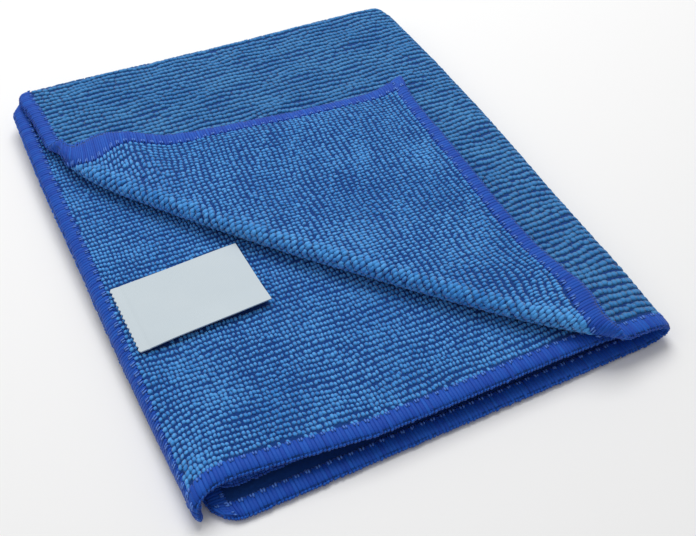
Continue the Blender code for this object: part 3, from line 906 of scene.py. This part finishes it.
def hem_threads():
    """One flattened thread, from the needle line over the rim and back, at every step of the hems."""
    frames = hem_frames(THREAD_PITCH, 0)
    inward = column(HEM_SECTION, "inward")
    depth = column(HEM_SECTION, "depth")
    swell = column(HEM_SECTION, "swell")
    run = np.stack([np.gradient(inward), np.gradient(depth)], -1)
    run /= np.linalg.norm(run, axis=1)[:, None]
    out = np.stack([run[:, 1], -run[:, 0]], -1)
    spin = 2 * math.pi * np.arange(THREAD_SIDES) / THREAD_SIDES
    wide = np.cos(spin)[None] * THREAD_WIDTH * 0.97 * swell[:, None]
    high = np.sin(spin)[None] * THREAD_SWELL * swell[:, None]
    count = len(frames)
    jitter = generator.normal(0, 1, (count, 2))
    slant = np.linspace(-0.28, 0.28, len(inward))[None, :, None] * MM
    step = wide[None] + slant + jitter[:, None, None, 0] * 0.05 * MM
    inside = (
        inward[None, :, None]
        + high[None] * out[None, :, None, 0]
        + jitter[:, None, None, 1] * 0.09 * MM
    )
    deep = depth[None, :, None] + high[None] * out[None, :, None, 1] + 0 * step
    heading = frames[:, None, None, 2:4]
    across_along = (
        frames[:, None, None, :2]
        + heading * step[..., None]
        + frames[:, None, None, 4:6] * inside[..., None]
    )
    flat = np.concatenate([across_along, deep[..., None]], -1)
    rings = len(inward)
    faces = []
    for ring in range(rings - 1):
        for side in range(THREAD_SIDES):
            after = (side + 1) % THREAD_SIDES
            low, high_ring = ring * THREAD_SIDES, (ring + 1) * THREAD_SIDES
            faces.append((low + side, low + after, high_ring + after, high_ring + side))
    ends = [
        tuple(range(THREAD_SIDES))[::-1],
        tuple((rings - 1) * THREAD_SIDES + s for s in range(THREAD_SIDES)),
    ]
    size = rings * THREAD_SIDES
    offset = np.arange(count)[:, None, None] * size
    all_faces = (np.array(faces)[None] + offset).reshape(-1, 4)
    all_ends = (np.array(ends)[None] + offset).reshape(-1, THREAD_SIDES)
    # lift is 0 at a thread's sides and 1 on its crowns, so the sides take painted shade and the crowns a
    # painted highlight.
    lift = np.tile(np.broadcast_to(np.abs(np.sin(spin))[None], (rings, THREAD_SIDES)).ravel(), count)
    tone = np.repeat(np.clip(generator.normal(0.35, 0.2, count), 0, 1), size)
    flat = flat.reshape(-1, 3)
    made = make_mesh(
        "hem_threads", fold(flat), [all_faces, all_ends], hem_material, {"lift": lift, "tone": tone}
    )
    add_uv(made, flat)
    print("hem_threads has", count, "threads and", len(all_faces) * 2, "triangles")
    return made


threads = hem_threads()

# %% The chain on the rim, and the needle's dashes
def along_hems(name, pitch, inset, depth, sizes, spin, offset, tone, material):
    """Beads at every step of the hems, at a distance from the rim and a depth."""
    frames = hem_frames(pitch, inset)
    heading = np.arctan2(frames[:, 3], frames[:, 2])
    places = frames[:, :2] + frames[:, 2:4] * offset
    count = len(frames)
    flat = np.c_[places, np.full(count, depth)]
    flat[:, :2] += generator.normal(0, 0.08 * MM, (count, 2))
    scales = np.tile(sizes, (count, 1)) * generator.uniform(0.85, 1.15, (count, 1))
    tones = np.clip(generator.normal(tone, 0.2, count), 0, 1)
    side = 1 if depth >= 0 else -1
    return copies(name, plain_bead, flat, scales, heading + spin, side, tones, material)


RIM_BEAD = (0.85 * MM, 0.42 * MM, 0.55 * MM)
rim = along_hems("hem_rim", THREAD_PITCH, -0.3 * MM, 0, RIM_BEAD, 0.3, 0, 1.0, hem_material)
DASH = (0.36 * MM, 0.8 * MM, 0.26 * MM)
dashes = []
for face, depth in (("inner", 1.3 * MM), ("outer", -1.3 * MM)):
    for hand, offset in (("a", -0.42 * MM), ("b", 0.42 * MM)):
        name = f"needle_stitches_{face}_{hand}"
        spin = 0.1 if hand == "a" else -0.1
        dashes.append(
            along_hems(
                name, STITCH_PITCH, HEM_WIDTH - 0.6 * MM, depth, DASH, spin, offset, 0.7, stitch_material
            )
        )

# %% [markdown]
# ## The label
#
# The label is a strip of smooth woven tape. Its left end is pinked and caught in the hem, with a crease
# where it comes out, and its free end stands a little off the pile. It is left plain. The tape is a
# subdivided strip with a real thickness, and its weave is in the finish.

# %% Label finish
label_material, shader, start = new_material("label_tape", 0.5, 0.1)
uv = start.node("ShaderNodeUVMap", uv_map="UVMap")
warp = start.node(
    "ShaderNodeTexWave", {"Vector": uv, "Scale": 640.0, "Distortion": 0.4}, out=1, bands_direction="X"
)
weft = start.node(
    "ShaderNodeTexWave", {"Vector": uv, "Scale": 640.0, "Distortion": 0.4}, out=1, bands_direction="Y"
)
weave = warp * 0.5 + weft * 0.5
stain = noise(start, uv, 60.0)
share = weave * 0.35 + stain * 0.65
plug(share.blend(LABEL_GREY, LABEL_PALE), shader, "Base Color")
weave_bump = {"Height": weave, "Strength": 0.25, "Distance": 0.00008}
plug(start.node("ShaderNodeBump", weave_bump), shader, "Normal")

# %% Label tape
LABEL_THICKNESS = 0.45 * MM
LABEL_LIFT = 0.9 * MM
LABEL_CREASE = 3.2 * MM
PINKING = 1.2 * MM
LABEL_GAP = 0.45 * MM


def label_strip():
    """The tape: a grid with a pinked left end, a crease, and a lower edge that stands off the pile."""
    length_steps, width_steps = 60, 56
    u, v = np.meshgrid(
        np.linspace(0, 1, length_steps + 1), np.linspace(0, 1, width_steps + 1), indexing="ij"
    )
    tooth = PINKING * np.abs((v * width_steps / 4) % 1 - 0.5)
    length = u * LABEL_LENGTH + tooth * (1 - u) ** 12
    width = v * LABEL_WIDTH
    crease = -0.16 * MM * np.exp(-(((length - LABEL_CREASE) / (0.5 * MM)) ** 2))
    across = length - LABEL_LENGTH / 2
    up = width - LABEL_WIDTH / 2
    x = LABEL_MIDDLE[0] + across * math.cos(LABEL_TURN) - up * math.sin(LABEL_TURN)
    y = LABEL_MIDDLE[1] + across * math.sin(LABEL_TURN) + up * math.cos(LABEL_TURN)
    top_of_cloth = (SECOND_FROM_TOP + THICKNESS / 2) * (1 + 2 * UNEVEN)
    lift = LABEL_LIFT * smooth(u) * (0.6 + 0.8 * (v - 0.5) ** 2)
    lift = lift + 0.5 * MM * smooth(1 - v / 0.3) * smooth(u * 3)
    ripple = 0.12 * MM * np.sin(u * 7 + v * 2)
    z = top_of_cloth + LABEL_GAP + lift + ripple * u + crease
    lower = np.stack([x - PLAN_MIDDLE[0], y - PLAN_MIDDLE[1], z], -1).reshape(-1, 3)
    upper = lower + [0, 0, LABEL_THICKNESS]
    i, j = np.meshgrid(np.arange(length_steps), np.arange(width_steps), indexing="ij")
    long = width_steps + 1
    first = (i * long + j).ravel()
    top_faces = np.stack([first, first + long, first + long + 1, first + 1], -1)
    left = np.arange(long)
    front = np.arange(length_steps + 1) * long
    rim_points = np.concatenate(
        [left[:-1], front[:-1] + long - 1, left[::-1][:-1] + length_steps * long, front[::-1][:-1]]
    )
    after = np.roll(rim_points, -1)
    count = len(lower)
    sides = np.stack([rim_points, rim_points + count, after + count, after], -1)
    points = np.concatenate([lower, upper])
    made = make_mesh("label_tape", points, [top_faces[:, ::-1], top_faces + count, sides], label_material)
    flat = np.tile(np.stack([length, width, 0 * width], -1).reshape(-1, 3), (2, 1))
    add_uv(made, flat)
    made.data.set_sharp_from_angle(angle=math.radians(40))
    return made


label = label_strip()
print(label.name, "has", len(label.data.polygons), "faces")

# %% [markdown]
# ## Finish
#
# The sheet stands for the imported cloth, with its loops and threads as pieces of it, and the tape stands
# for the imported label. All of them ride on the one body.

# %% Attach the pieces to the body and hide the imported parts
cloth_pieces = [lower_pile, flap_pile, upper_ribs, lower_ribs, back_ribs, threads, rim, *dashes]
for piece in [sheet, *cloth_pieces]:
    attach(piece, "root")
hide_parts("cloth")
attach(label, "root")
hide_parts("label")
